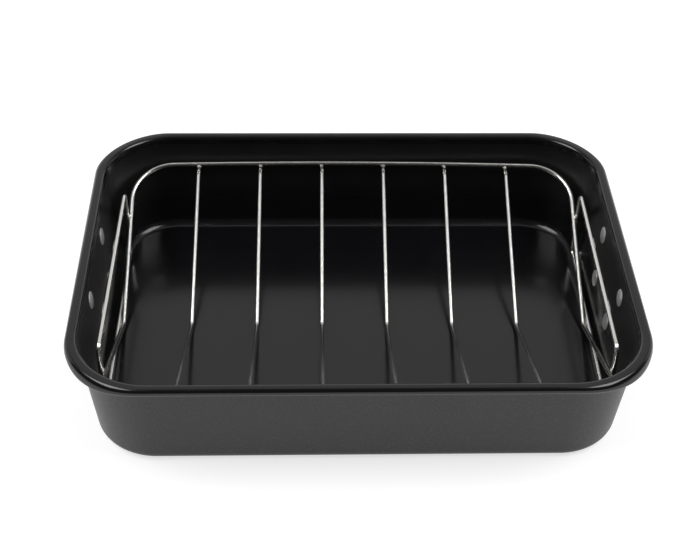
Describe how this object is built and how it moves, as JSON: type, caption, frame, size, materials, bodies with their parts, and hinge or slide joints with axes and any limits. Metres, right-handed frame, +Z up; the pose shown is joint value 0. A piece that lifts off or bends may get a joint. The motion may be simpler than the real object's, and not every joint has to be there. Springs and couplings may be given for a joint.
{
  "type": "roasting pan with rack",
  "caption": "Deep rectangular non-stick roasting pan with rolled rim, fold-down end handles and a lift-out valley-shaped wire rack with upright end grips.",
  "frame": {"origin": "centre of the pan's underside, on the surface that the pan stands on", "axes": "+X along the pan towards the right-hand handle, +Y towards the back long wall, +Z up out of the pan"},
  "size_m": [0.402, 0.284, 0.078],
  "materials": {
    "nonstick_steel": "satin black non-stick coating on drawn steel, smooth inside and finely speckled outside",
    "plated_wire": "bright plated steel wire",
    "handle_steel": "satin stainless steel",
    "rivet_metal": "pressed, slightly dull"
  },
  "bodies": {
    "pan": {"pan_body": "nonstick_steel", "handle_plate_left": "handle_steel", "handle_plate_right": "handle_steel", "rivet_left_1": "rivet_metal", "rivet_left_2": "rivet_metal", "rivet_left_3": "rivet_metal", "rivet_left_4": "rivet_metal", "rivet_right_1": "rivet_metal", "rivet_right_2": "rivet_metal", "rivet_right_3": "rivet_metal", "rivet_right_4": "rivet_metal"},
    "rack": {"rack_frame": "plated_wire", "rack_bar_1": "plated_wire", "rack_bar_2": "plated_wire", "rack_bar_3": "plated_wire", "rack_bar_4": "plated_wire", "rack_bar_5": "plated_wire", "rack_bar_6": "plated_wire", "rack_end_loop_left": "plated_wire", "rack_end_loop_right": "plated_wire"},
    "bail_left": {"handle_bail_left": "handle_steel"},
    "bail_right": {"handle_bail_right": "handle_steel"}
  },
  "joints": [
    {"name": "rack_lift", "type": "slide", "parent": "pan", "child": "rack", "axis": [0, 0, 1], "range_m": [0, 0.1]},
    {"name": "bail_swing_left", "type": "hinge", "parent": "pan", "child": "bail_left", "pos_m": [-0.18596, 0, 0.06152], "axis": [0, 1, 0], "range_deg": [0, 130]},
    {"name": "bail_swing_right", "type": "hinge", "parent": "pan", "child": "bail_right", "pos_m": [0.18596, 0, 0.06152], "axis": [0, -1, 0], "range_deg": [0, 130]}
  ]
}
